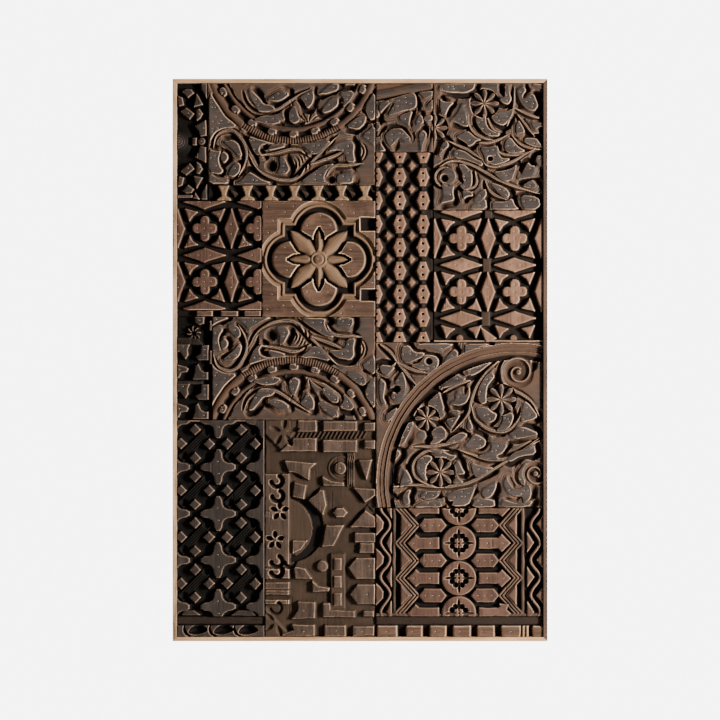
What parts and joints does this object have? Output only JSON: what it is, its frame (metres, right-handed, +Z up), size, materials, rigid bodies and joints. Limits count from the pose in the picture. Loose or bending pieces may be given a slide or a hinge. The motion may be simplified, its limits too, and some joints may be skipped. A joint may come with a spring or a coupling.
{
  "type": "carved wall panel",
  "caption": "Tall wall panel of old carved wooden printing and mould blocks fitted edge to edge on a board inside a slim mitred wooden frame.",
  "frame": {"origin": "centre of the flat back face, which hangs against the wall", "axes": "+Z up along the panel's height, +Y out of the back towards the wall, +X right as seen from the front; the carved front faces -Y"},
  "size_m": [0.8, 0.044, 1.2],
  "materials": {
    "frame_wood": "raw sawn softwood, light tan, outer side darker",
    "tan_wood": "bare light wood, worn",
    "rose_wood": "rubbed pink-brown wood faces with dark carved ground",
    "grey_wood": "grey-brown patinated wood faces with dark carved ground",
    "brown_wood": "brown open-grained wood",
    "dark_wood": "nearly black patinated wood",
    "board_wood": "plain dark board"
  },
  "bodies": {
    "root": {"backboard": "board_wood", "frame_top": "frame_wood", "frame_bottom": "frame_wood", "frame_left": "frame_wood", "frame_right": "frame_wood", "trellis_block_left": "rose_wood", "trellis_block_right": "rose_wood", "honeycomb_block": "rose_wood", "hourglass_rail": "tan_wood", "boss_block": "grey_wood", "flower_block": "brown_wood", "rosette_block": "grey_wood", "peg_block": "dark_wood", "plain_rail_left": "brown_wood", "plain_rail_right": "brown_wood", "leaf_rail": "dark_wood", "dentil_rail": "brown_wood", "zigzag_block": "rose_wood", "garland_block_upper": "grey_wood", "garland_block_lower": "grey_wood", "scroll_block": "grey_wood", "flower_scroll_block": "grey_wood", "arch_block": "grey_wood", "mixed_block": "brown_wood"}
  },
  "joints": []
}
